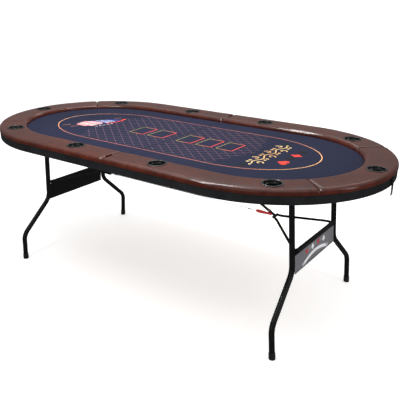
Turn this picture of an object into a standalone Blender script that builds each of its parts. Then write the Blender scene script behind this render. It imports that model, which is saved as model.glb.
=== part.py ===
# Folding oval poker table: two half tops hinged across the middle, two folding leg frames.
# Metres, +Z up. Origin on the floor under the middle. +X runs along the table.
import bpy
import bmesh
from math import acos, atan2, cos, hypot, pi, radians, sin
from mathutils import Matrix, Vector

# overall size
TABLE_LENGTH = 2.134
TABLE_WIDTH = 1.067
TABLE_HEIGHT = 0.762
STRAIGHT_HALF = 0.5              # half length of the straight side edge
END_REACH = TABLE_LENGTH / 2 - STRAIGHT_HALF
HALF_WIDTH = TABLE_WIDTH / 2

# top build-up
RAIL_TOP = 0.7585
RAIL_BOTTOM = 0.735
RAIL_WIDTH = 0.141
RAIL_SEAM_ANGLE = radians(42)    # place of the corner seams on the end curve
BOARD_BOTTOM = 0.730
BOARD_TOP = 0.7348
BOARD_INSET = 0.0078
FELT_TOP = 0.7368
APRON_BOTTOM = 0.700
APRON_INSET = 0.002
APRON_INNER = 0.014
FOLD_GAP = 0.0005                # each half stops this far from the fold line
PAD_GAP = 0.0016                 # the padded rails leave room for the hinge leaves
SEAM_GAP = 0.0004

# cup holders: place along the rim and distance in from the outer edge
CUP_FLANGE_R = 0.043
CUP_OUTER_R = 0.0365
CUP_INNER_R = 0.0342
CUP_HOLE_R = 0.0373
CUP_BOTTOM = 0.704
CUP_FLOOR = 0.7065
CUP_TOP = 0.7599
CUP_SIDE_X = 0.24
CUP_SIDE_INSET = 0.0835
CUP_CORNER_ANGLE = radians(60)
CUP_CORNER_INSET = 0.079
CUP_END_INSET = 0.066

# legs
PIVOT_X = 0.7375
PIVOT_Z = 0.7145
FOOT_X = 0.7875
LEG_Y = 0.215
FOOT_Y = 0.40
BEND_HIGH = 0.315
BEND_LOW = 0.145
LEG_R = 0.0125
LEG_TOP = 0.0085                 # tube above the pivot
AXLE_R = 0.005
CAP_R = 0.0145
CAP_HEIGHT = 0.032

# brace between a leg frame and the underside
CROSS_DOWN = 0.31395             # from the leg pivot to the cross tube, along the leg
CROSS_OFFSET = 0.006
CROSS_R = 0.007
KNEE = (0.5625, 0.450)
LINK_PIVOT = (0.0575, 0.7235)
HOOK = (0.5443, 0.4570)         # stud on the link that carries the cable hook
HOOK_START = 0.4645
HOOK_Y = -0.0094
LINK_HALF = 0.0055
STRUT_TIP_Y = 0.0178
STRUT_R = 0.0058
CABLE_R = 0.0015

# hinge across the rails
FOLD_Z = 0.7601
HINGE_KNUCKLE_R = 0.0022
HINGE_PIN_R = 0.0009
HINGE_WIDTH = 0.036

# latch on the end
LATCH_X = 1.0700
LATCH_Z = 0.7345

for old in list(bpy.data.objects):
    bpy.data.objects.remove(old, do_unlink=True)

scene = bpy.context.scene
table = bpy.data.collections.new("folding_poker_table")
cutters = bpy.data.collections.new("cutters")
scene.collection.children.link(table)
scene.collection.children.link(cutters)

PALETTE = {
    "vinyl": ((0.080, 0.040, 0.034), 0.42, 0.0),
    "felt": ((0.034, 0.038, 0.075), 0.95, 0.0),
    "board": ((0.180, 0.120, 0.070), 0.80, 0.0),
    "apron": ((0.018, 0.019, 0.021), 0.55, 0.0),
    "cup": ((0.012, 0.014, 0.015), 0.35, 0.0),
    "tube": ((0.012, 0.012, 0.013), 0.40, 0.2),
    "panel": ((0.130, 0.130, 0.135), 0.50, 0.0),
    "foot": ((0.015, 0.015, 0.015), 0.75, 0.0),
    "steel": ((0.600, 0.600, 0.610), 0.28, 1.0),
    "hook": ((0.600, 0.030, 0.020), 0.40, 0.0),
}


def material_for(name, kind):
    colour, roughness, metallic = PALETTE[kind]
    mat = bpy.data.materials.new(name)
    mat.use_nodes = True
    shader = mat.node_tree.nodes["Principled BSDF"]
    shader.inputs["Base Color"].default_value = (*colour, 1.0)
    shader.inputs["Roughness"].default_value = roughness
    shader.inputs["Metallic"].default_value = metallic
    mat.diffuse_color = (*colour, 1.0)
    return mat


def add_mesh(name, bm, kind=None):
    bmesh.ops.remove_doubles(bm, verts=bm.verts, dist=0.00001)
    bmesh.ops.recalc_face_normals(bm, faces=bm.faces)
    mesh = bpy.data.meshes.new(name)
    bm.to_mesh(mesh)
    bm.free()
    obj = bpy.data.objects.new(name, mesh)
    if kind:
        table.objects.link(obj)
        mesh.materials.append(material_for(name, kind))
    else:
        cutters.objects.link(obj)
        obj.hide_render = True
        obj.display_type = "WIRE"
    return obj


def boolean(obj, tool, operation):
    mod = obj.modifiers.new(tool.name, "BOOLEAN")
    mod.object = tool
    mod.operation = operation
    mod.solver = "EXACT"


def loft(name, rings, kind=None):
    bm = bmesh.new()
    loops = [[bm.verts.new(p) for p in ring] for ring in rings]
    for a, b in zip(loops, loops[1:]):
        for i in range(len(a)):
            j = (i + 1) % len(a)
            bm.faces.new((a[i], a[j], b[j], b[i]))
    bm.faces.new(loops[0])
    bm.faces.new(list(reversed(loops[-1])))
    return add_mesh(name, bm, kind)


def slab(name, outline, low, high, kind=None):
    rings = [[(x, y, z) for x, y in outline] for z in (low, high)]
    return loft(name, rings, kind)


def box(name, low, high, kind=None):
    outline = [(low[0], low[1]), (high[0], low[1]), (high[0], high[1]), (low[0], high[1])]
    return slab(name, outline, low[2], high[2], kind)


def cylinder(name, centre, axis, radius, length, sides, kind=None):
    bm = bmesh.new()
    turn = Vector((0, 0, 1)).rotation_difference(Vector(axis)).to_matrix().to_4x4()
    place = Matrix.Translation(centre) @ turn
    bmesh.ops.create_cone(bm, cap_ends=True, segments=sides, radius1=radius, radius2=radius,
                          depth=length, matrix=place)
    return add_mesh(name, bm, kind)


def tube_mesh(name, points, radius, kind=None, resolution=3):
    curve = bpy.data.curves.new(name + "_path", "CURVE")
    curve.dimensions = "3D"
    spline = curve.splines.new("POLY")
    spline.points.add(len(points) - 1)
    for point, co in zip(spline.points, points):
        point.co = (*co, 1.0)
    curve.bevel_depth = radius
    curve.bevel_resolution = resolution
    curve.use_fill_caps = True
    holder = bpy.data.objects.new(name + "_path", curve)
    mesh = bpy.data.meshes.new_from_object(holder)
    bpy.data.objects.remove(holder)
    bm = bmesh.new()
    bm.from_mesh(mesh)
    bpy.data.meshes.remove(mesh)
    return add_mesh(name, bm, kind)


# ---- the oval rim, walked on the +X half from the front of the fold to its rear ----
def rim_point(station, inset, side):
    kind, value = station
    if kind == "front":
        x, y = value, -HALF_WIDTH + inset
    elif kind == "rear":
        x, y = value, HALF_WIDTH - inset
    else:
        nx, ny = cos(value) / END_REACH, sin(value) / HALF_WIDTH
        size = hypot(nx, ny)
        x = STRAIGHT_HALF + END_REACH * cos(value) - inset * nx / size
        y = HALF_WIDTH * sin(value) - inset * ny / size
    return side * x, y


def swept_rim(name, stations, profiles, side, kind):
    rings = []
    for station, profile in zip(stations, profiles):
        ring = []
        for inset, z in profile:
            x, y = rim_point(station, inset, side)
            ring.append((x, y, z))
        rings.append(ring)
    return loft(name, rings, kind)


def pad_profile(drop, squeeze):
    top = RAIL_TOP - drop
    crown = min(0.0012, 0.3 * (top - 0.745))
    return [
        (0.0002 + squeeze, RAIL_BOTTOM + 0.0006), (0.0 + squeeze, 0.741 - 0.2 * drop),
        (0.0022 + squeeze, top - 0.0075), (0.0075 + squeeze, top - 0.0026),
        (0.018, top - crown * 0.5), (0.045, top), (0.100, top - crown * 0.2),
        (0.122, top - 0.0018), (0.134, top - 0.0055), (0.1395, top - 0.0105 + 0.4 * drop),
        (RAIL_WIDTH, BOARD_BOTTOM + 0.0006), (0.132, BOARD_BOTTOM),
        (0.0086, BOARD_BOTTOM), (0.0084, RAIL_BOTTOM + 0.0003),
        (0.0016 + squeeze, RAIL_BOTTOM + 0.0003),
    ]


END_DROP = [0.0068, 0.0036, 0.0012, 0.0]
END_SQUEEZE = [0.0012, 0.0005, 0.0001, 0.0]


def pad_rings(count):
    profiles = []
    for i in range(count):
        k = min(i, count - 1 - i, 3)
        profiles.append(pad_profile(END_DROP[k], END_SQUEEZE[k]))
    return profiles


def seam_offsets(low, high, steps):
    # closer rings at both ends so that the pad rolls over into its seam
    close = [0.0, 0.004 / 0.55, 0.010 / 0.55, 0.018 / 0.55]
    inner = [low + close[3] + (high - low - 2 * close[3]) * i / steps for i in range(1, steps)]
    return ([low + c for c in close] + inner + [high - c for c in reversed(close)])


SEAM_SHIFT = SEAM_GAP / 0.55
END_STATIONS = [("arc", a) for a in seam_offsets(-RAIL_SEAM_ANGLE + SEAM_SHIFT,
                                                 RAIL_SEAM_ANGLE - SEAM_SHIFT, 14)]
SIDE_ARC = seam_offsets(RAIL_SEAM_ANGLE + SEAM_SHIFT, pi / 2 + 0.04, 8)[:-4]
FRONT_STATIONS = ([("front", PAD_GAP + d) for d in (0, 0.005, 0.011, 0.018)]
                  + [("front", 0.12), ("front", 0.36), ("front", 0.49)]
                  + [("arc", -a) for a in reversed(SIDE_ARC)])
REAR_STATIONS = [("rear" if s[0] == "front" else "arc", s[1] if s[0] == "front" else -s[1])
                 for s in FRONT_STATIONS]

HALF_STATIONS = ([("front", FOLD_GAP)] + FRONT_STATIONS[1:] + END_STATIONS
                 + REAR_STATIONS[:0:-1] + [("rear", FOLD_GAP)])


def half_outline(inset, side):
    return [rim_point(s, inset, side) for s in HALF_STATIONS]


CUP_STATIONS = [("end", ("arc", 0.0), CUP_END_INSET),
                ("front_corner", ("arc", -CUP_CORNER_ANGLE), CUP_CORNER_INSET),
                ("rear_corner", ("arc", CUP_CORNER_ANGLE), CUP_CORNER_INSET),
                ("front", ("front", CUP_SIDE_X), CUP_SIDE_INSET),
                ("rear", ("rear", CUP_SIDE_X), CUP_SIDE_INSET)]
RAIL_OF_CUP = {"end": "end", "front_corner": "front", "rear_corner": "rear",
               "front": "front", "rear": "rear"}


def cup_holder(name, x, y):
    mesh = bpy.data.meshes.new(name)
    bevel = 0.0016
    profile = [(0, CUP_FLOOR), (CUP_INNER_R - 0.004, CUP_FLOOR),
               (CUP_INNER_R - 0.001, CUP_FLOOR + 0.003), (CUP_INNER_R, CUP_TOP - 0.004),
               (CUP_INNER_R + 0.0018, CUP_TOP - 0.0005), (CUP_INNER_R + 0.0035, CUP_TOP),
               (CUP_FLANGE_R - bevel, CUP_TOP - 0.0001), (CUP_FLANGE_R, CUP_TOP - 0.0006),
               (CUP_FLANGE_R - 0.0004, RAIL_TOP + 0.0002), (CUP_OUTER_R, RAIL_TOP + 0.0002),
               (CUP_OUTER_R - 0.001, CUP_BOTTOM + 0.003), (CUP_OUTER_R - 0.004, CUP_BOTTOM),
               (0, CUP_BOTTOM)]
    edges = [(i, i + 1) for i in range(len(profile) - 1)]
    mesh.from_pydata([(r, 0, z) for r, z in profile], edges, [])
    obj = bpy.data.objects.new(name, mesh)
    table.objects.link(obj)
    mesh.materials.append(material_for(name, "cup"))
    obj.location = (x, y, 0)
    mod = obj.modifiers.new("turn", "SCREW")
    mod.axis = "Z"
    mod.steps = 24
    mod.render_steps = 24
    mod.use_merge_vertices = True
    mod.merge_threshold = 0.00002
    return obj


def half_top(label, side):
    slab("board_" + label, half_outline(RAIL_WIDTH + 0.0004, side),
         BOARD_BOTTOM, BOARD_TOP, "board")
    slab("felt_" + label, half_outline(RAIL_WIDTH + 0.0004, side),
         BOARD_TOP + 0.0003, FELT_TOP, "felt")
    section = [(APRON_INSET, APRON_BOTTOM), (APRON_INNER, APRON_BOTTOM),
               (APRON_INNER, BOARD_BOTTOM - 0.0003), (BOARD_INSET - 0.0003, BOARD_BOTTOM - 0.0003),
               (BOARD_INSET - 0.0003, RAIL_BOTTOM - 0.0002), (APRON_INSET, RAIL_BOTTOM - 0.0002)]
    swept_rim("apron_" + label, HALF_STATIONS, [section] * len(HALF_STATIONS), side, "apron")
    rails = {}
    for part, stations in (("front", FRONT_STATIONS), ("end", END_STATIONS),
                           ("rear", REAR_STATIONS)):
        name = "rail_" + label + "_" + part
        rails[part] = swept_rim(name, stations, pad_rings(len(stations)), side, "vinyl")
    for place, station, inset in CUP_STATIONS:
        x, y = rim_point(station, inset, side)
        name = "cup_" + label + "_" + place
        cup_holder(name, x, y)
        tool = cylinder("hole_" + label + "_" + place, (x, y, 0.74), (0, 0, 1), CUP_HOLE_R,
                        0.09, 24)
        boolean(rails[RAIL_OF_CUP[place]], tool, "DIFFERENCE")


# ---- hinge leaves in the rail seams ----
def fold_hinge(place, y):
    third = HINGE_WIDTH / 3
    for label, side in (("left", -1), ("right", 1)):
        name = "hinge_" + label + "_" + place
        x_in, x_out = sorted((side * 0.0003, side * 0.0013))
        leaf = box(name, (x_in, y - HINGE_WIDTH / 2, 0.7420),
                   (x_out, y + HINGE_WIDTH / 2, FOLD_Z - 0.001), "steel")
        if side < 0:
            spans = [(-1.5, -0.5), (0.5, 1.5)]
            gaps = [(-0.5, 0.5)]
        else:
            spans = [(-0.5, 0.5)]
            gaps = [(-1.6, -0.5), (0.5, 1.6)]
        for k, (low, high) in enumerate(spans):
            pad = 0.0002
            length = (high - low) * third - 2 * pad
            centre = (0, y + (low + high) / 2 * third, FOLD_Z)
            knuckle = cylinder(name + "_k%d" % k, centre, (0, 1, 0), HINGE_KNUCKLE_R, length, 16)
            boolean(leaf, knuckle, "UNION")
        for k, (low, high) in enumerate(gaps):
            tool = box(name + "_g%d" % k, (-0.005, y + low * third - 0.0002, FOLD_Z - 0.0036),
                       (0.005, y + high * third + 0.0002, 0.764))
            boolean(leaf, tool, "DIFFERENCE")
        if side < 0:
            pin = cylinder(name + "_pin", (0, y, FOLD_Z), (0, 1, 0), HINGE_PIN_R,
                           third * 2, 12)
            boolean(leaf, pin, "UNION")
        else:
            bore = cylinder(name + "_bore", (0, y, FOLD_Z), (0, 1, 0), HINGE_PIN_R + 0.0003,
                            third * 2, 12)
            boolean(leaf, bore, "DIFFERENCE")


# ---- legs: drawn in their own plane, then leaned outward ----
LEG_LEAN = atan2(FOOT_X - PIVOT_X, PIVOT_Z)
LEG_DOWN = (sin(LEG_LEAN), -cos(LEG_LEAN))
LEG_OUT = (cos(LEG_LEAN), sin(LEG_LEAN))


def on_leg(down, out, y, side):
    x = PIVOT_X + down * LEG_DOWN[0] + out * LEG_OUT[0]
    z = PIVOT_Z + down * LEG_DOWN[1] + out * LEG_OUT[1]
    return side * x, y, z


def down_to(z):
    return (PIVOT_Z - z) / cos(LEG_LEAN)


def bend(points, radius, steps):
    path = [Vector(points[0])]
    for a, b, c in zip(points, points[1:], points[2:]):
        a, b, c = Vector(a), Vector(b), Vector(c)
        u, v = (a - b).normalized(), (c - b).normalized()
        turn = pi - acos(max(-1.0, min(1.0, u.dot(v))))
        reach = radius * sin(turn / 2) / cos(turn / 2)
        start, end = b + u * reach, b + v * reach
        for i in range(steps + 1):
            t = i / steps
            path.append(start * (1 - t) ** 2 + b * 2 * t * (1 - t) + end * t ** 2)
    path.append(Vector(points[-1]))
    return path


def leg_frame(label, side):
    for place, ys in (("front", -1), ("rear", 1)):
        corners = [on_leg(-LEG_TOP, 0, ys * LEG_Y, side),
                   on_leg(down_to(BEND_HIGH), 0, ys * LEG_Y, side),
                   on_leg(down_to(BEND_LOW), 0, ys * FOOT_Y, side),
                   on_leg(down_to(0.0048), 0, ys * FOOT_Y, side)]
        leg = tube_mesh("leg_" + label + "_" + place, bend(corners, 0.075, 4), LEG_R, "tube")
        bore = cylinder("legbore_" + label + "_" + place, (side * PIVOT_X, ys * LEG_Y, PIVOT_Z),
                        (0, 1, 0), AXLE_R + 0.0003, 0.04, 16)
        boolean(leg, bore, "DIFFERENCE")
        foot_cap("foot_" + label + "_" + place, side, ys * FOOT_Y)
        leg_bracket("leg_bracket_" + label + "_" + place, side, ys)
    cylinder("cross_tube_" + label, on_leg(CROSS_DOWN, CROSS_OFFSET, 0, side), (0, 1, 0),
             CROSS_R, 2 * (LEG_Y - LEG_R - 0.0003), 16, "tube")
    rings = []
    for y in (-(LEG_Y - LEG_R - 0.0005), LEG_Y - LEG_R - 0.0005):
        rings.append([on_leg(d, CROSS_OFFSET + o, y, side) for d, o in
                      ((CROSS_DOWN + CROSS_R + 0.0034, -0.0015),
                       (CROSS_DOWN + CROSS_R + 0.0034, 0.0015),
                       (down_to(0.300), 0.0015), (down_to(0.300), -0.0015))])
    loft("leg_panel_" + label, rings, "panel")


def foot_cap(name, side, y):
    lean = (FOOT_X - PIVOT_X) / PIVOT_Z
    bm = bmesh.new()
    rings = []
    for radius, z in ((CAP_R - 0.001, 0.0), (CAP_R, 0.002), (CAP_R - 0.0005, CAP_HEIGHT),
                      (LEG_R + 0.0003, CAP_HEIGHT), (LEG_R + 0.0003, 0.0035)):
        x = side * (FOOT_X - lean * z)
        rings.append([bm.verts.new((x + radius * cos(2 * pi * i / 20),
                                    y + radius * sin(2 * pi * i / 20), z)) for i in range(20)])
    for a, b in zip(rings, rings[1:]):
        for i in range(20):
            bm.faces.new((a[i], a[(i + 1) % 20], b[(i + 1) % 20], b[i]))
    bm.faces.new(rings[0])
    bm.faces.new(rings[-1])
    add_mesh(name, bm, "foot")


def leg_bracket(name, side, ys):
    x = side * PIVOT_X
    inner, outer = LEG_Y + LEG_R + 0.001, LEG_Y + LEG_R + 0.005
    near, far = sorted((ys * inner, ys * outer))
    cheek = box(name, (x - 0.014, near, PIVOT_Z - 0.010), (x + 0.014, far, BOARD_BOTTOM - 0.0003),
                "tube")
    near, far = sorted((ys * (outer - 0.002), ys * (outer + 0.022)))
    flange = box(name + "_flange", (x - 0.020, near, BOARD_BOTTOM - 0.0035),
                 (x + 0.020, far, BOARD_BOTTOM - 0.0003))
    boolean(cheek, flange, "UNION")
    reach = outer - (LEG_Y - 0.011)
    axle = cylinder(name + "_axle", (x, ys * (outer - 0.001 - reach / 2), PIVOT_Z), (0, 1, 0),
                    AXLE_R, reach, 16)
    boolean(cheek, axle, "UNION")


# ---- brace: two struts from the cross tube to the knee, one link up to the underside ----
def brace(label, side):
    ax, _, az = on_leg(CROSS_DOWN, CROSS_OFFSET, 0, 1)
    kx, kz = KNEE
    for place, ys in (("front", -1), ("rear", 1)):
        name = "strut_" + label + "_" + place
        eye_y, knee_y = ys * 0.185, ys * STRUT_TIP_Y
        away = Vector((kx - ax, 0, kz - az)).normalized()
        start = Vector((ax, eye_y, az)) + away * 0.010
        path = [start, start + Vector((away.x * 0.018, -ys * 0.012, away.z * 0.018)),
                Vector((kx, knee_y, kz)) - away * 0.024 + Vector((0, ys * 0.012, 0)),
                Vector((kx, knee_y, kz)) - away * 0.003]
        path = [(side * p.x, p.y, p.z) for p in path]
        rod = tube_mesh(name, path, STRUT_R, "tube", 2)
        ring = cylinder(name + "_eye", (side * ax, eye_y, az), (0, 1, 0), CROSS_R + 0.0028, 0.012, 20)
        tip = cylinder(name + "_tip", (side * kx, knee_y, kz), (0, 1, 0), 0.006, 0.0085, 16)
        bore = cylinder(name + "_bore", (side * ax, eye_y, az), (0, 1, 0), CROSS_R + 0.0003,
                        0.03, 20)
        boolean(rod, ring, "UNION")
        boolean(rod, tip, "UNION")
        boolean(rod, bore, "DIFFERENCE")
    ux, uz = LINK_PIVOT
    along = Vector((kx - ux, 0, kz - uz))
    length = along.length
    along.normalize()
    up = Vector((-along.z, 0, along.x))

    def on_link(a, u, y):
        p = Vector((ux, 0, uz)) + along * a + up * u
        return side * p.x, y, p.z

    rings = [[on_link(a, u, y) for u, y in ((-0.004, -LINK_HALF), (0.004, -LINK_HALF),
                                            (0.004, LINK_HALF), (-0.004, LINK_HALF))]
             for a in (0.0045, length - 0.004)]
    link = loft("link_" + label, rings, "tube")
    upper = cylinder("link_upper_" + label, (side * ux, 0, uz), (0, 1, 0), 0.0052, 0.0112, 20)
    bore = cylinder("link_bore_" + label, (side * ux, 0, uz), (0, 1, 0), 0.0028, 0.03, 16)
    knee = cylinder("link_knee_" + label, (side * kx, 0, kz), (0, 1, 0), 0.0065, 0.0150, 20)
    hx, hz = HOOK
    stud = cylinder("link_stud_" + label, (side * hx, -0.0074, hz), (0, 1, 0), 0.002, 0.0068, 12)
    for tool in (upper, knee, stud):
        boolean(link, tool, "UNION")
    boolean(link, bore, "DIFFERENCE")
    link_bracket(label, side)
    lock_ring(label, side, on_link, length)
    tie_cable(label, side)


def link_bracket(label, side):
    ux, uz = LINK_PIVOT
    x = side * ux
    top = BOARD_BOTTOM - 0.0003
    plate = box("link_bracket_" + label, (x - 0.009, -0.018, top - 0.0008),
                (x + 0.009, 0.018, top), "tube")
    for k, ys in enumerate((-1, 1)):
        near, far = sorted((ys * 0.0062, ys * 0.0092))
        cheek = box("link_cheek_%s_%d" % (label, k), (x - 0.006, near, uz - 0.006),
                    (x + 0.006, far, top - 0.0002))
        boolean(plate, cheek, "UNION")
    pin = cylinder("link_pin_" + label, (x, 0, uz), (0, 1, 0), 0.0025, 0.0170, 16)
    boolean(plate, pin, "UNION")


def lock_ring(label, side, on_link, length):
    # square slide ring around the link, just above the knee and the hook stud
    rings = []
    for a in (length - 0.042, length - 0.030):
        rings.append([on_link(a, u, y) for u, y in ((-0.0062, -0.0075), (0.0062, -0.0075),
                                                    (0.0062, 0.0075), (-0.0062, 0.0075))])
    ring = loft("lock_ring_" + label, rings, "steel")
    rings = []
    for a in (length - 0.052, length - 0.020):
        rings.append([on_link(a, u, y) for u, y in ((-0.0043, -0.0058), (0.0043, -0.0058),
                                                    (0.0043, 0.0058), (-0.0043, 0.0058))])
    boolean(ring, loft("lock_ring_hole_" + label, rings), "DIFFERENCE")


def tie_cable(label, side):
    hx, hz = HOOK
    hook = box("cable_hook_" + label, *ordered(side, (HOOK_START, HOOK_Y - 0.0016, hz - 0.008),
                                               (hx + 0.0045, HOOK_Y + 0.0016, hz + 0.008)), "hook")
    bore = cylinder("hook_bore_" + label, (side * hx, HOOK_Y, hz), (0, 1, 0), 0.0023, 0.01, 12)
    boolean(hook, bore, "DIFFERENCE")
    line = [(side * x, HOOK_Y, hz) for x in (HOOK_START - 0.0003, 0.2, 0.0012)]
    cable = tube_mesh("tie_cable_" + label, line, CABLE_R, "steel", 2)
    ferrule = cylinder("ferrule_" + label, (side * 0.4315, HOOK_Y, hz), (1, 0, 0), 0.0022,
                       0.022, 12)
    boolean(cable, ferrule, "UNION")


def ordered(side, low, high):
    xs = sorted((side * low[0], side * high[0]))
    return (xs[0], low[1], low[2]), (xs[1], high[1], high[2])


# ---- latch between the two ends when the top is folded ----
def latch():
    face = TABLE_LENGTH / 2 - APRON_INSET
    plate = box("latch_plate", (face + 0.0003, -0.015, 0.7225), (face + 0.0018, 0.015, 0.7342),
                "steel")
    wing = [(-0.015, -0.0085), (0.0085, 0.015)]
    for k, (low, high) in enumerate(wing):
        knuckle = cylinder("latch_knuckle_%d" % k, (LATCH_X, (low + high) / 2, LATCH_Z - 0.004),
                           (0, 1, 0), 0.0026, high - low, 16)
        arm = box("latch_arm_%d" % k, (face + 0.001, low, LATCH_Z - 0.0055),
                  (LATCH_X, high, LATCH_Z - 0.0030))
        boolean(plate, knuckle, "UNION")
        boolean(plate, arm, "UNION")
    pin = cylinder("latch_pin", (LATCH_X, 0, LATCH_Z - 0.004), (0, 1, 0), 0.0011, 0.025, 12)
    boolean(plate, pin, "UNION")
    z = LATCH_Z - 0.004
    hasp = box("latch_hasp", (LATCH_X - 0.0009, -0.011, z - 0.0685),
               (LATCH_X + 0.0009, 0.011, z - 0.0015), "steel")
    knuckle = cylinder("hasp_knuckle", (LATCH_X, 0, z), (0, 1, 0), 0.0026, 0.0164, 16)
    notch = [box("hasp_notch_%d" % k, (LATCH_X - 0.01, low, z - 0.0042),
                 (LATCH_X + 0.01, high, z + 0.004)) for k, (low, high) in
             enumerate(((-0.012, -0.0082), (0.0082, 0.012)))]
    slot = box("hasp_slot", (LATCH_X - 0.01, -0.0036, z - 0.0655),
               (LATCH_X + 0.01, 0.0036, z - 0.040))
    bore = cylinder("hasp_bore", (LATCH_X, 0, z), (0, 1, 0), 0.0014, 0.03, 12)
    boolean(hasp, knuckle, "UNION")
    for tool in (*notch, slot, bore):
        boolean(hasp, tool, "DIFFERENCE")
    catch = box("latch_catch", (-face - 0.0018, -0.014, 0.7150), (-face - 0.0003, 0.014, 0.7340),
                "steel")
    stud = box("catch_stud", (-LATCH_X - 0.0026, -0.0025, 0.7275), (-face - 0.001, 0.0025, 0.7325))
    boolean(catch, stud, "UNION")


for label, side in (("left", -1), ("right", 1)):
    half_top(label, side)
    leg_frame(label, side)
    brace(label, side)
HINGE_Y = HALF_WIDTH - 0.050
fold_hinge("front", -HINGE_Y)
fold_hinge("rear", HINGE_Y)
latch()
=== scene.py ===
# Folding oval poker table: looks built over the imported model.
# Metres, +Z up, origin on the floor under the middle of the top, +X towards the latch's end.
# side is -1 for the left half and 1 for the right; an inset is the way in from the oval's edge.
import bpy
import bmesh
from math import acos, atan2, cos, exp, hypot, pi, radians, sin, sqrt
from mathutils import Matrix, Vector


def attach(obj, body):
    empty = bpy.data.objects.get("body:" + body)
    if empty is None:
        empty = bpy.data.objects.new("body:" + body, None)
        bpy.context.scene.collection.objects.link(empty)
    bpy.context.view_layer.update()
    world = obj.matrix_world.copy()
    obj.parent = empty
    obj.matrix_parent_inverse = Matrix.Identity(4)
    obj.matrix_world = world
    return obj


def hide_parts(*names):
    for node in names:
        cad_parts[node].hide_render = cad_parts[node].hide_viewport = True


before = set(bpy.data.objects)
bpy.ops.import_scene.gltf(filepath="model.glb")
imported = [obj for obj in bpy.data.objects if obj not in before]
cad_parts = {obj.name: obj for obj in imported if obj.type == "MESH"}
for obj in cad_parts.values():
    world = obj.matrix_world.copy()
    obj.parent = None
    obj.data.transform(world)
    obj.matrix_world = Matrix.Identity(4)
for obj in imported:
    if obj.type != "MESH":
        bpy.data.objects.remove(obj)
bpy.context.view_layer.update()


def mm(value):
    """Metres from millimetres, for a number or for nested rows of numbers."""
    if isinstance(value, (int, float)):
        return round(value / 1000, 9)
    return [mm(v) for v in value]


# ---------------------------------------------------------------- sizes shared with the model
STRAIGHT_HALF = 0.5
HALF_LENGTH = 1.067
HALF_WIDTH = 0.5335
END_REACH = HALF_LENGTH - STRAIGHT_HALF
RAIL_TOP = 0.7585
RAIL_WIDTH = 0.141
SEAM_ANGLE = radians(42)
FELT_TOP = 0.7368
PIVOT_X, PIVOT_Z = 0.7375, 0.7145
FOOT_X, FOOT_Y, LEG_Y = 0.7875, 0.4, 0.215
BEND_HIGH, BEND_LOW = 0.315, 0.145
LEG_R = 0.0125
CROSS_DOWN, CROSS_OFFSET, CROSS_R = 0.31395, 0.006, 0.007
KNEE = (0.5625, 0.45)
LINK_PIVOT = (0.0575, 0.7235)
HOOK = (0.5443, 0.457)
HOOK_Y = -0.0094
SIDES = (("left", -1), ("right", 1))
ENDS = (("front", -1), ("rear", 1))
UNDERSIDE = 0.7297              # top of the brackets, just under the deck
FOLD_GAP = 0.00005              # felt and board keep this far from the fold
BAND_GAP = 0.0005
CUP_HOLE_R = 0.038

CUPS = [("end", ("arc", 0.0), 0.066), ("front_corner", ("arc", -radians(60)), 0.079),
        ("rear_corner", ("arc", radians(60)), 0.079), ("front", ("front", 0.24), 0.0835),
        ("rear", ("rear", 0.24), 0.0835)]


def rim(station, inset, side=1):
    """Point on the oval, moved in from the outer edge."""
    kind, value = station
    if kind == "front":
        x, y = value, -HALF_WIDTH + inset
    elif kind == "rear":
        x, y = value, HALF_WIDTH - inset
    else:
        nx, ny = cos(value) / END_REACH, sin(value) / HALF_WIDTH
        size = hypot(nx, ny)
        x = STRAIGHT_HALF + END_REACH * cos(value) - inset * nx / size
        y = HALF_WIDTH * sin(value) - inset * ny / size
    return side * x, y

# ---------------------------------------------------------------- node materials
THREADS = 2 * pi * 900          # the cloth's weave: 900 threads a metre


def srgb(r, g, b):
    """Linear colour from three values of 0 to 255."""
    def lin(v):
        v /= 255
        return v / 12.92 if v <= 0.04045 else ((v + 0.055) / 1.055) ** 2.4
    return lin(r), lin(g), lin(b), 1.0


def paler(base, step):
    return tuple(min(255, c + step) for c in base)


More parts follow.
